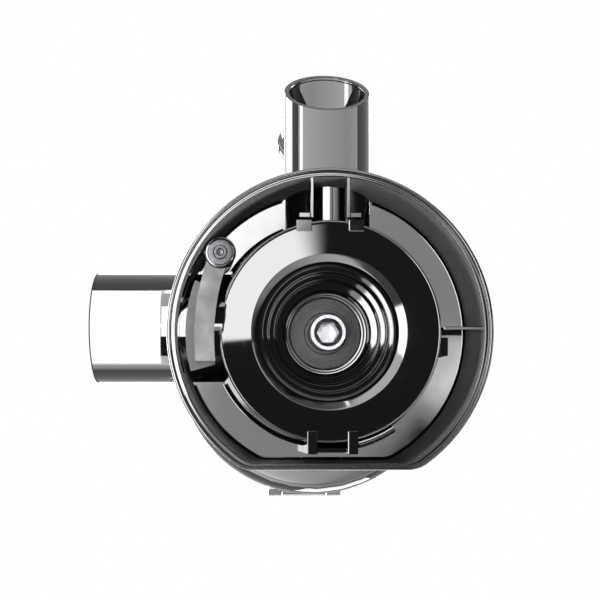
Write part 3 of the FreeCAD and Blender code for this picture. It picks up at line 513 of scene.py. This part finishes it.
def turned_steel(name, base, roughness):
    """Stainless steel turned on a lathe: fine rings and a soft variation of polish."""
    finish = Finish(name, base, roughness, 2.5, 1.0)
    finish.vary("Roughness", finish.noise(2.5), roughness - 0.06, roughness + 0.1)
    finish.bump(finish.turned_rings(0.35), 0.004, 0.5)
    return finish.material


def sheet_steel(name, base):
    """Etched stainless sheet: brushed lightly along its height."""
    finish = Finish(name, base, 0.34, 2.5, 1.0)
    finish.vary("Roughness", finish.noise(0.6, 2.0, (1, 1, 12)), 0.26, 0.44)
    finish.bump(finish.noise(0.4, 2.0, (1, 1, 14)), 0.006, 0.5)
    return finish.material


MATERIALS = {}


def build_materials():
    """One material for each finish that the head's pieces have."""
    MATERIALS["black_gloss"] = gloss_plastic("Polished black ABS", 0.045)
    MATERIALS["black_hub"] = gloss_plastic("Polished black ABS of the hub", 0.06)
    MATERIALS["clear_gloss"] = gloss_plastic("Polished black ABS of the hopper", 0.06)
    # Painted shade: an edge that hardly reflects, so that it shows dark
    MATERIALS["black_edge"] = shaded_edge_finish("Black edge with painted shade")
    MATERIALS["black_matte"] = matte_plastic("Grained black polyamide", "#1b1b1d", "#26262a", 0.5)
    MATERIALS["resin"] = matte_plastic("Glass-filled black resin", "#2a2a2d", "#38383c", 0.42)
    MATERIALS["grey_rubber"] = silicone("Grey silicone", "#85888b", "#93969a")
    MATERIALS["seal_rubber"] = silicone("Dark grey silicone", "#222325", "#2b2c2e")
    MATERIALS["black_satin"] = gloss_plastic("Satin black polyamide", 0.3)
    # Painted light: the same black ABS as the skirt's outside, given a mid grey colour so that its inner wall
    # looks lit
    MATERIALS["inner_satin"] = matte_plastic("Black ABS inside the skirt with painted light", "#48494b", "#525355", 0.45)
    MATERIALS["screw_steel"] = turned_steel("Blackened stainless steel", "#39393b", 0.3)
    MATERIALS["steel"] = turned_steel("Turned stainless steel", "#77787a", 0.3)
    MATERIALS["mesh_steel"] = sheet_steel("Etched stainless sheet", "#a5a6a8")


NODE_FINISH = {
    "black_gloss": (
        "bowl_skirt", "bowl_hub", "bowl_floor", "bowl_drum", "juice_spout", "pulp_spout", "juice_cap",
        "bowl_lid", "lever_hub",
    ),
    "black_satin": ("pulp_lever",),
    "clear_gloss": ("feed_hopper", "hopper_lid"),
    "black_matte": ("strainer_frame", "brush_frame"),
    "resin": ("shaft_bush", "auger", "auger_gear", "pinion_rear", "pinion_front", "lid_bush"),
    "grey_rubber": ("brush_wipers",),
    "seal_rubber": ("shaft_seal", "cap_seal", "pulp_plug", "lid_seal"),
    "steel": ("pinion_pins", "drive_socket", "cap_pin", "lever_washer", "lever_screw", "hopper_pin"),
    "mesh_steel": ("strainer_mesh",),
}


# Operators

class JuicerSizes(bpy.types.PropertyGroup):
    """Sizes of the small pieces, in millimetres."""

    shade_limit: FloatProperty(
        name="Edge limit", description="Angle in degrees above which an edge stays sharp",
        default=32.0, min=5, max=80,
    )
    lip_r: FloatProperty(
        name="Lip radius", description="Radius of the rounded lip of the juice spout",
        default=1.25, min=0.5, max=2,
    )
    rim_r: FloatProperty(
        name="Rim radius", description="Radius of the rounded edge of the skirt's rim",
        default=0.85, min=0.2, max=1.0,
    )
    foot_r: FloatProperty(
        name="Foot fillet", description="Radius of the fillets where walls meet the trough's floor",
        default=1.3, min=0.5, max=4,
    )
    seal_ribs: IntProperty(
        name="Seal ribs", description="Number of raised ribs on the shaft seal", default=3, min=0, max=6
    )


class JuicerLight(bpy.types.PropertyGroup):
    """Strengths of the studio's light."""

    tent: FloatProperty(
        name="Tent", description="Brightness of the light tent below the head", default=22.0, min=0, max=60
    )
    grey: FloatProperty(
        name="Grey side", description="Brightness of the tent's dim side near the camera",
        default=4.5, min=0, max=30,
    )
    sky: FloatProperty(
        name="Sky", description="Brightness of the room above the head", default=0.9, min=0, max=10
    )
    dark: FloatProperty(
        name="Dark side", description="Brightness of the dark parts of the room below the head",
        default=0.12, min=0, max=5,
    )


def sizes():
    """The sizes set in the panel."""
    return bpy.context.scene.juicer_sizes


class FinishNodes(bpy.types.Operator):
    """Give every construction node its finish and smooth shading"""

    bl_idname = "juicer.finish_nodes"
    bl_label = "Finish the construction nodes"

    def execute(self, context):
        for key, names in NODE_FINISH.items():
            for name in names:
                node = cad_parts[name]
                node.data.materials.clear()
                node.data.materials.append(MATERIALS[key])
                smooth_normals(node, sizes().shade_limit, TUBES.get(name))
        return {"FINISHED"}


class AddLips(bpy.types.Operator):
    """Round the juice spout's lip and paint shade on the edge of the pulp spout's mouth"""

    bl_idname = "juicer.add_lips"
    bl_label = "Add the spouts' lips"

    def execute(self, context):
        lip = sizes().lip_r * MM
        angle = np.linspace(0, 2 * math.pi, 180, endpoint=False)
        mid = JUICE_R - JUICE_WALL / 2
        x = JUICE_X + mid * np.cos(angle)
        z = SPOUT_Z + mid * np.sin(angle)
        y = JUICE_MOUTH_Y - (z - SPOUT_Z) * math.tan(JUICE_MOUTH_ANGLE) + lip * JUICE_LIP_SETBACK
        rows = tube_rows(np.stack([x, y, z], axis=1), lip)
        grid_piece("juice_lip", rows, "bowl", MATERIALS["black_gloss"], close_v=True)
        # Thin ring over the pulp spout's mouth edge that hardly reflects: painted shade along the edge
        wide, narrow = PULP_R + EDGE_STANDOUT, PULP_BORE_R - EDGE_STANDOUT
        inside, outside = EDGE_WIDTH, -0.75 * EDGE_STANDOUT
        rows = []
        for radius, inset in ((wide, inside), (wide, outside), (narrow, outside), (narrow, inside)):
            y = PULP_Y + radius * np.cos(angle)
            z = SPOUT_Z + radius * np.sin(angle)
            x = PULP_MOUTH_X + (z - SPOUT_Z) * PULP_MOUTH_LEAN + inset
            rows.append(np.stack([x, y, z], axis=1))
        grid_piece("pulp_lip", rows, "bowl", MATERIALS["black_edge"])
        return {"FINISHED"}


def in_juice_tube(p, share=0.5):
    """Points inside the middle of the juice spout's wall."""
    radius = JUICE_R - JUICE_WALL * share
    return (p[:, 1] < -40 * MM) & (np.hypot(p[:, 0] - JUICE_X, p[:, 2] - SPOUT_Z) < radius)


def in_pulp_tube(p, share=0.5):
    """Points inside the middle of the pulp spout's wall."""
    radius = PULP_R - PULP_WALL * share
    return (p[:, 0] < -30 * MM) & (np.hypot(p[:, 1] - PULP_Y, p[:, 2] - SPOUT_Z) < radius)


def in_lever_slot(p):
    """Points in the slot of the skirt that the lever swings through."""
    angle = np.degrees(np.arctan2(p[:, 1], p[:, 0])) % 360
    return (p[:, 2] > SLOT_Z[0]) & (p[:, 2] < SLOT_Z[1]) & (angle > SLOT_ANGLE[0]) & (angle < SLOT_ANGLE[1])


class AddSkirt(bpy.types.Operator):
    """Build the skirt with rounded rim and rabbet, its ribs, feet and lever post"""

    bl_idname = "juicer.add_skirt"
    bl_label = "Add the skirt"

    def execute(self, context):
        r = sizes().rim_r * MM
        wall, lip, top = SKIRT_WALL, RABBET_INSET, SKIRT_HEIGHT
        line = rounded_line([
            (0, top, 0), (0, SLOT_Z[1], 0), (0, SLOT_Z[0], 0), (0, RIM_RISE, r), (lip, 0, r),
            (lip, RABBET_DEPTH + RIM_RISE, 0.2 * MM), (wall, RABBET_DEPTH, 0.45 * MM),
            (wall, SLOT_Z[0], 0), (wall, SLOT_Z[1], 0), (wall, top, 0),
        ])
        line = divided(line, 1.2 * MM)
        past_rabbet = line[:, 1] > RABBET_DEPTH + 0.4 * MM
        inner = int(np.argmax((line[:, 0] > wall - 0.01 * MM) & past_rabbet))
        rows = []
        for inset, z in line:
            draft = z / SKIRT_HEIGHT
            flat_inset = np.interp(inset, [0, lip, wall], [0, FLAT_RABBET_INSET, FLAT_WALL])
            radius = SKIRT_R - inset - SKIRT_DRAFT * draft
            flat = SKIRT_FLAT - flat_inset - FLAT_DRAFT * draft
            rows.append(flat_round_path(radius, flat, SKIRT_CORNER - inset, z))

        def opening(p):
            return in_juice_tube(p) | in_pulp_tube(p) | in_lever_slot(p)

        material = MATERIALS["black_gloss"]
        # The inner wall, from past the rabbet to the top, takes the mid grey: painted light on black plastic
        satin = (MATERIALS["inner_satin"], inner, len(rows))
        skirt = grid_piece(
            "skirt_shell", rows, "bowl", material, opening=opening, second=satin
        )
        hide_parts("bowl_skirt")
        for k, (low, high) in enumerate(SKIRT_BARS):
            bar_piece(f"skirt_rib_{k}", low, high, "bowl", material)
        post = rounded_line([(0, POST_Z, 0), (POST_R, POST_Z, 0.4 * MM), (POST_R, SKIRT_HEIGHT, 0)])
        grid_piece("lever_post", revolve_rows(post, 72, LEVER_X, LEVER_Y), "bowl", material)

        def beside_spouts(p):
            return in_juice_tube(p, -0.5) | in_pulp_tube(p, -0.5)

        foot = sizes().foot_r * MM
        rows = []
        for away, z in foot_rounding(foot, top):
            inset = wall + away
            radius = SKIRT_R - inset - SKIRT_DRAFT * z / SKIRT_HEIGHT
            flat = SKIRT_FLAT - (FLAT_WALL + away) - FLAT_DRAFT * z / SKIRT_HEIGHT
            rows.append(flat_round_path(radius, flat, SKIRT_CORNER - inset, z))
        grid_piece("skirt_foot", rows, "bowl", material, opening=beside_spouts)
        hub_r = HUB_LINE[0][0] * MM
        rows = revolve_rows([(hub_r + away, z) for away, z in foot_rounding(foot, top)], 480)
        grid_piece("hub_foot", rows, "bowl", material, opening=beside_spouts)
        return {"FINISHED"}


class AddHub(bpy.types.Operator):
    """Build the hub with rounded steps, its lugs, posts and flat side"""

    bl_idname = "juicer.add_hub"
    bl_label = "Add the hub"

    def execute(self, context):
        line = rounded_line([(r * MM, z * MM, f * MM) for r, z, f in HUB_LINE], 5)
        rows = revolve_rows(divided(line, 1.2 * MM), 480)
        normal = np.array([math.cos(HUB_CHORD_ANGLE), math.sin(HUB_CHORD_ANGLE), 0])
        beyond = np.maximum(rows @ normal - HUB_CHORD, 0)
        rows = rows - beyond[..., None] * normal

        def opening(p):
            return in_juice_tube(p) | in_pulp_tube(p)

        material = MATERIALS["black_hub"]
        hub = grid_piece("hub_shell", rows, "bowl", material, opening=opening)
        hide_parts("bowl_hub")
        for k, (low, high) in enumerate(HUB_BARS):
            bar_piece(f"hub_lug_{k}", low, high, "bowl", material, lean=0.04)
        span = np.radians(np.linspace(*CURVED_RIB_ANGLES, 24))
        near, far = CURVED_RIB_R
        across = rounded_line([
            (near, SKIRT_HEIGHT, 0), (near, CURVED_RIB_Z, 0.4 * MM),
            (far, CURVED_RIB_Z, 0.4 * MM), (far, SKIRT_HEIGHT, 0),
        ])
        rows = [[(r * math.cos(a), r * math.sin(a), z) for a in span] for r, z in across]
        grid_piece("hub_curved_rib", rows, "bowl", material, close_u=False)
        return {"FINISHED"}


class AddLeverScrew(bpy.types.Operator):
    """Round the edges of the lever's hub, its washer and its screw"""

    bl_idname = "juicer.add_lever_screw"
    bl_label = "Add the lever's screw"

    def execute(self, context):
        # Name, replaced node, body, slot, material and outline (radius, level, fillet) in millimetres
        parts = (
            ("hub_disc", "lever_hub", "lever", "black_gloss", MATERIALS["black_gloss"],
             [(2.1, 12, 0), (7.8, 12, 0), (7.8, 9.4, 0.9), (2.1, 9.4, 0.2), (2.1, 12, 0)]),
            ("washer_disc", "lever_washer", "bowl", "steel", MATERIALS["screw_steel"],
             [(2.05, 9.34, 0), (6.3, 9.34, 0), (6.3, 8.25, 0.45), (2.05, 8.25, 0.2), (2.05, 9.34, 0)]),
            ("screw_head", "lever_screw", "bowl", "steel", MATERIALS["screw_steel"],
             [(1.98, 35, 0), (1.98, 8.24, 0), (3.5, 8.24, 0), (3.5, 5.75, 0.7),
              (1.75, 5.75, 0.3), (1.5, 7.4, 0.2), (0.01, 7.5, 0)]),
        )
        for name, node, body, slot, material, corners in parts:
            line = rounded_line([(r * MM, z * MM, f * MM) for r, z, f in corners])
            piece = grid_piece(name, revolve_rows(line, 96, LEVER_X, LEVER_Y), body, material)
            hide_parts(node)
        return {"FINISHED"}


class AddSeal(bpy.types.Operator):
    """Raise the ribs of the shaft seal"""

    bl_idname = "juicer.add_seal"
    bl_label = "Add the seal's ribs"

    def execute(self, context):
        foot, crown = SEAL_RIB_Z
        for k in range(sizes().seal_ribs):
            radius = SEAL_RIB_R + SEAL_RIB_PITCH * k
            line = rounded_line([
                (radius - 0.35 * MM, foot, 0), (radius - 0.25 * MM, crown, 0.15 * MM),
                (radius + 0.25 * MM, crown, 0.15 * MM), (radius + 0.35 * MM, foot, 0),
            ])
            rows = revolve_rows(line, 120)
            grid_piece(f"seal_rib_{k}", rows, "bowl", MATERIALS["seal_rubber"])
        return {"FINISHED"}


class AddCamera(bpy.types.Operator):
    """Place the camera under the head, as in the photo"""

    bl_idname = "juicer.add_camera"
    bl_label = "Add the camera"

    def execute(self, context):
        data = bpy.data.cameras.new("camera")
        data.lens = CAMERA_LENS
        data.sensor_width = 36.0
        data.clip_start = 0.05
        data.clip_end = 50.0
        camera = bpy.data.objects.new("camera", data)
        place = Vector(CAMERA_PLACE)
        ahead = (Vector(CAMERA_TARGET) - place).normalized()
        right = ahead.cross(Vector((0, -1, 0))).normalized()
        up = right.cross(ahead)
        turn = Matrix((right, up, -ahead)).transposed().to_4x4()
        camera.matrix_world = Matrix.Translation(place) @ turn
        context.scene.collection.objects.link(camera)
        context.scene.camera = camera
        return {"FINISHED"}


class AddStage(bpy.types.Operator):
    """Set the floor, the light tent and the softboxes"""

    bl_idname = "juicer.add_stage"
    bl_label = "Add the stage"

    def execute(self, context):
        build_world(context.scene)
        build_floor()
        softbox("left_box", (-1.1, -0.5, 1.0), (0, 0, 0.12), 0.9, 26.0)
        softbox("right_box", (1.2, -0.9, 0.7), (0, 0, 0.12), 0.5, 9.0)
        softbox("back_box", (0.3, 1.3, 0.9), (0, 0, 0.12), 0.7, 14.0)
        softbox("top_box", (0.0, -0.1, 1.5), (0, 0, 0.2), 0.8, 14.0)
        card("pulp_card", (-0.16, -0.083), (-0.2, 0.14), 0.008, (24.0, 24.0))
        card("duct_card", (-0.083, -0.0665), (-1.6, 0.03), -0.06, (24.0, 24.0))
        card("juice_card", (-1.6, 1.6), (-0.35, -0.084), -0.05, (7.5, 5.0))
        card("shoulder_card", (-0.4, 0.35), (0.095, 0.8), -0.02, (10.0, 3.4))
        return {"FINISHED"}


def softbox(name, place, target, size, watts):
    """Square lamp that looks from its place at a target."""
    data = bpy.data.lights.new(name, "AREA")
    data.shape = "SQUARE"
    data.size = size
    data.energy = watts
    light = bpy.data.objects.new(name, data)
    light.location = place
    light.rotation_euler = (Vector(target) - Vector(place)).to_track_quat("-Z", "Y").to_euler()
    light.visible_camera = False
    bpy.context.scene.collection.objects.link(light)


def card(name, span_x, span_y, level, brightness):
    """Glowing card seen only in reflections; its brightness changes from left to right."""
    mesh = bpy.data.meshes.new(name)
    corners = [(x, y, level) for x, y in zip((*span_x, *span_x[::-1]), np.repeat(span_y, 2))]
    mesh.from_pydata(corners, [], [(0, 1, 2, 3)])
    obj = bpy.data.objects.new(name, mesh)
    bpy.context.scene.collection.objects.link(obj)
    material = bpy.data.materials.new(name)
    material.use_nodes = True
    nodes, links = material.node_tree.nodes, material.node_tree.links
    glow = nodes.new("ShaderNodeEmission")
    place = nodes.new("ShaderNodeTexCoord")
    split = nodes.new("ShaderNodeSeparateXYZ")
    links.new(place.outputs["Object"], split.inputs[0])
    arithmetic = NodeMath(material.node_tree)
    fade = arithmetic.ramp(split.outputs["X"], -0.12, 0.1, *brightness, smooth=False)
    links.new(fade, glow.inputs["Strength"])
    links.new(glow.outputs[0], nodes["Material Output"].inputs["Surface"])
    mesh.materials.append(material)
    obj.visible_camera = False
    obj.visible_diffuse = False
    obj.visible_shadow = False


def build_floor():
    """Pale floor that only the camera sees, and only from above."""
    mesh = bpy.data.meshes.new("floor")
    size = 6.0
    corners = [(-size, -size, 0), (size, -size, 0), (size, size, 0), (-size, size, 0)]
    mesh.from_pydata(corners, [], [(0, 1, 2, 3)])
    floor = bpy.data.objects.new("floor", mesh)
    floor.location = (0, 0, -0.0004)
    bpy.context.scene.collection.objects.link(floor)
    material = bpy.data.materials.new("Pale floor")
    material.use_nodes = True
    nodes, links = material.node_tree.nodes, material.node_tree.links
    surface = nodes["Principled BSDF"]
    surface.inputs["Base Color"].default_value = colour("#e9e9ea")
    surface.inputs["Roughness"].default_value = 0.9
    side = nodes.new("ShaderNodeNewGeometry")
    clear = nodes.new("ShaderNodeBsdfTransparent")
    mix = nodes.new("ShaderNodeMixShader")
    links.new(side.outputs["Backfacing"], mix.inputs[0])
    links.new(surface.outputs[0], mix.inputs[1])
    links.new(clear.outputs[0], mix.inputs[2])
    links.new(mix.outputs[0], nodes["Material Output"].inputs["Surface"])
    mesh.materials.append(material)
    floor.visible_diffuse = False
    floor.visible_glossy = False
    floor.visible_transmission = False
    floor.visible_shadow = False


def tent_light(arithmetic, x, y, z, light):
    """Brightness of the light tent below the head, seen in the direction (x, y, z).

    The tent is a cone round the drive axis. It is bright towards -X and -Y, grey in the middle
    and dark towards +X and +Y, with a bright patch on its dark side, a dark spot where the camera
    stands and a bright band low on its far corner. u and v are slopes away from straight down.
    """
    calc, product, ramp = arithmetic.calc, arithmetic.product, arithmetic.ramp
    depth = calc("MAXIMUM", product(z, -1.0), 0.05)
    u, v = calc("DIVIDE", x, depth), calc("DIVIDE", y, depth)
    slant = calc("ADD", product(u, -0.78), product(v, -0.62))
    near = ramp(slant, -0.008, 0.02, light.grey, light.tent)
    near = ramp(slant, -0.091, -0.083, light.dark, near)
    near = ramp(v, -0.14, -0.125, light.dark, near)
    patch = arithmetic.distance(u, v, (0.128, -0.014))
    near = ramp(patch, 0.010, 0.024, 13.0, near)
    below = ramp(arithmetic.distance(u, v), 0.4, 0.6, near, light.dark)
    spot = arithmetic.distance(u, v, (0.070, -0.035))
    below = ramp(spot, 0.034, 0.042, light.dark, below)
    below = ramp(spot, 0.008, 0.012, 0.8, below)
    corner = product(ramp(x, 0.08, 0.4, 0.0, 1.0), ramp(y, -0.13, -0.09, 0.0, 1.0))
    band = product(ramp(z, -0.66, -0.62, 0.0, 1.0), ramp(z, -0.42, -0.38, 1.0, 0.0))
    return calc("ADD", below, product(corner, band, light.tent * 0.8))


def room_light(arithmetic, x, y, z, light):
    """Brightness of the room above the tent: dim, with a soft patch low on its +Y side."""
    product, ramp = arithmetic.product, arithmetic.ramp
    patch = product(
        ramp(y, 0.1, 0.5, 0.0, 1.0), ramp(z, 0.0, 0.25, 1.0, 0.0),
        ramp(x, -0.6, 0.3, 7.0, 2.5), ramp(z, -0.18, -0.12, 0.0, 1.0),
    )
    return arithmetic.calc("ADD", patch, light.sky)


def side_light(arithmetic, x, y, z, light):
    """Brightness of a strip low on the -X side, which the ends of the spouts reflect."""
    product, ramp = arithmetic.product, arithmetic.ramp
    strip = product(
        ramp(x, -0.9, -0.84, 1.0, 0.0), ramp(z, -0.36, -0.32, 0.0, 1.0),
        ramp(z, -0.12, -0.08, 1.0, 0.0), ramp(y, 0.3, 0.36, 1.0, 0.0),
    )
    return product(strip, light.tent)


def build_world(scene):
    """White behind the head for the camera; the light tent and the room for everything else."""
    world = bpy.data.worlds.new("studio")
    scene.world = world
    world.use_nodes = True
    nodes, links = world.node_tree.nodes, world.node_tree.links
    nodes.clear()
    arithmetic = NodeMath(world.node_tree)
    coordinate = nodes.new("ShaderNodeTexCoord")
    split = nodes.new("ShaderNodeSeparateXYZ")
    links.new(coordinate.outputs["Generated"], split.inputs[0])
    x, y, z = split.outputs["X"], split.outputs["Y"], split.outputs["Z"]
    light = scene.juicer_light
    tent = tent_light(arithmetic, x, y, z, light)
    room = room_light(arithmetic, x, y, z, light)
    strength = arithmetic.ramp(z, -0.38, -0.2, tent, room)
    strength = arithmetic.calc("ADD", strength, side_light(arithmetic, x, y, z, light))
    path = nodes.new("ShaderNodeLightPath")
    seen = nodes.new("ShaderNodeMix")
    links.new(path.outputs["Is Camera Ray"], seen.inputs[0])
    links.new(strength, seen.inputs[2])
    seen.inputs[3].default_value = 1.0
    back = nodes.new("ShaderNodeBackground")
    back.inputs["Color"].default_value = (1, 1, 1, 1)
    links.new(seen.outputs[0], back.inputs["Strength"])
    output = nodes.new("ShaderNodeOutputWorld")
    links.new(back.outputs[0], output.inputs["Surface"])


class JuicerPanel(bpy.types.Panel):
    """Sizes and light of the juicing head's looks"""

    bl_idname = "VIEW3D_PT_juicer"
    bl_label = "Juicing head"
    bl_space_type = "VIEW_3D"
    bl_region_type = "UI"
    bl_category = "Juicing head"

    def draw(self, context):
        for group in (context.scene.juicer_sizes, context.scene.juicer_light):
            for name in group.__annotations__:
                self.layout.prop(group, name)
        for operator in OPERATORS:
            self.layout.operator(operator.bl_idname)


GROUPS = (JuicerSizes, JuicerLight)
OPERATORS = (FinishNodes, AddLips, AddSkirt, AddHub, AddLeverScrew, AddSeal, AddCamera, AddStage)


def register():
    for item in (*GROUPS, *OPERATORS, JuicerPanel):
        bpy.utils.register_class(item)
    bpy.types.Scene.juicer_sizes = PointerProperty(type=JuicerSizes)
    bpy.types.Scene.juicer_light = PointerProperty(type=JuicerLight)


def unregister():
    del bpy.types.Scene.juicer_light
    del bpy.types.Scene.juicer_sizes
    for item in reversed((*GROUPS, *OPERATORS, JuicerPanel)):
        bpy.utils.unregister_class(item)


def main():
    register()
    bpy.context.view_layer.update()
    build_materials()
    bpy.ops.juicer.add_camera()
    bpy.ops.juicer.add_stage()
    bpy.ops.juicer.finish_nodes()
    bpy.ops.juicer.add_lips()
    bpy.ops.juicer.add_skirt()
    bpy.ops.juicer.add_hub()
    bpy.ops.juicer.add_lever_screw()
    bpy.ops.juicer.add_seal()
    bpy.context.scene.view_settings.view_transform = "Standard"


if __name__ == "__main__":
    main()
